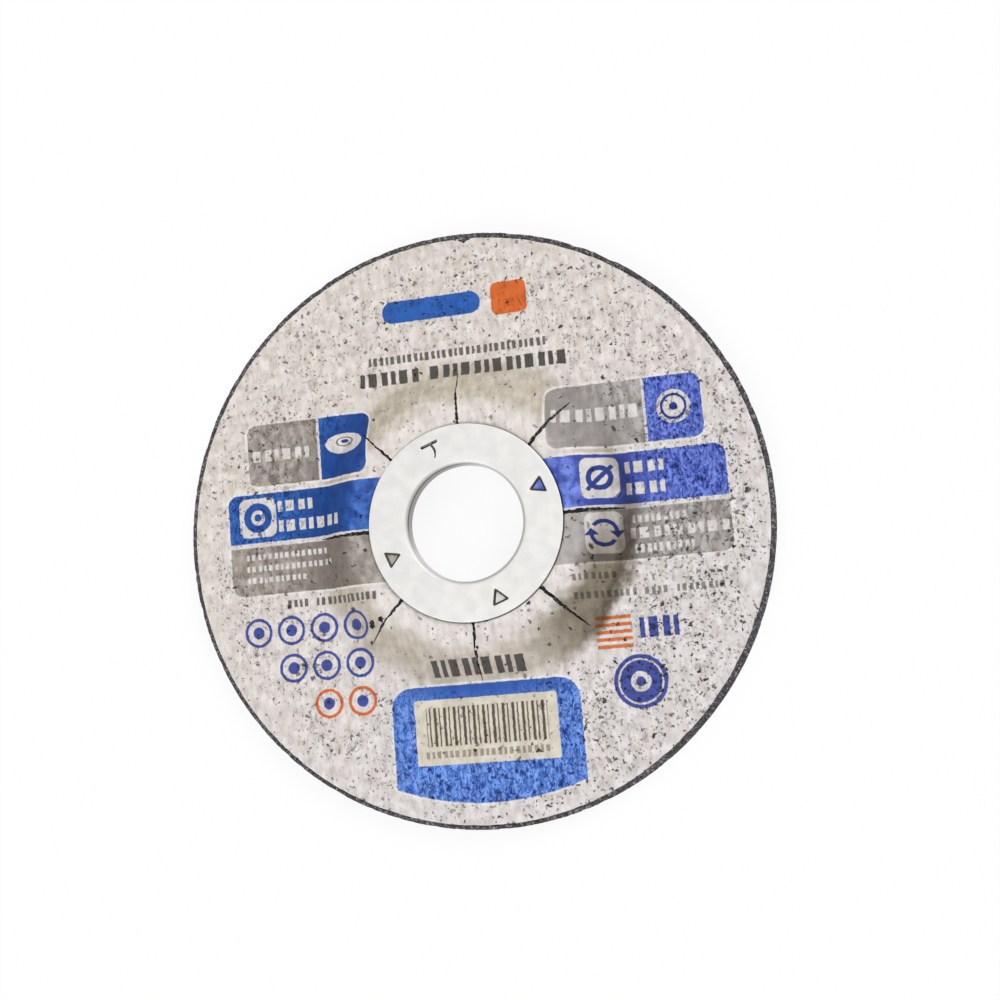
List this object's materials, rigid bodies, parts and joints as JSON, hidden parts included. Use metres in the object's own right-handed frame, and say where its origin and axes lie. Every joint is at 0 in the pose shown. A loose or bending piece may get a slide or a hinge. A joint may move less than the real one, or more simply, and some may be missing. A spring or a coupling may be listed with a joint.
{
  "type": "cut-off wheel",
  "caption": "Depressed-centre abrasive cut-off wheel: dark pressed disc with a raised hub, a slit paper label over its face and a stamped metal arbor ring lining the bore.",
  "frame": {"origin": "on the bore axis, at the height of the back face that the wheel lies on", "axes": "+Z along the bore axis towards the label and the raised hub, +Y towards the upright top of the printed label"},
  "size_m": [0.115, 0.115, 0.0081],
  "materials": {
    "abrasive": "rough resin-bonded grit",
    "label": "matte embossed paper with blue and grey printed fields",
    "ring": "satin pale tinplate"
  },
  "bodies": {
    "root": {"abrasive_disc": "abrasive", "paper_label": "label", "arbor_ring": "ring"}
  },
  "joints": []
}
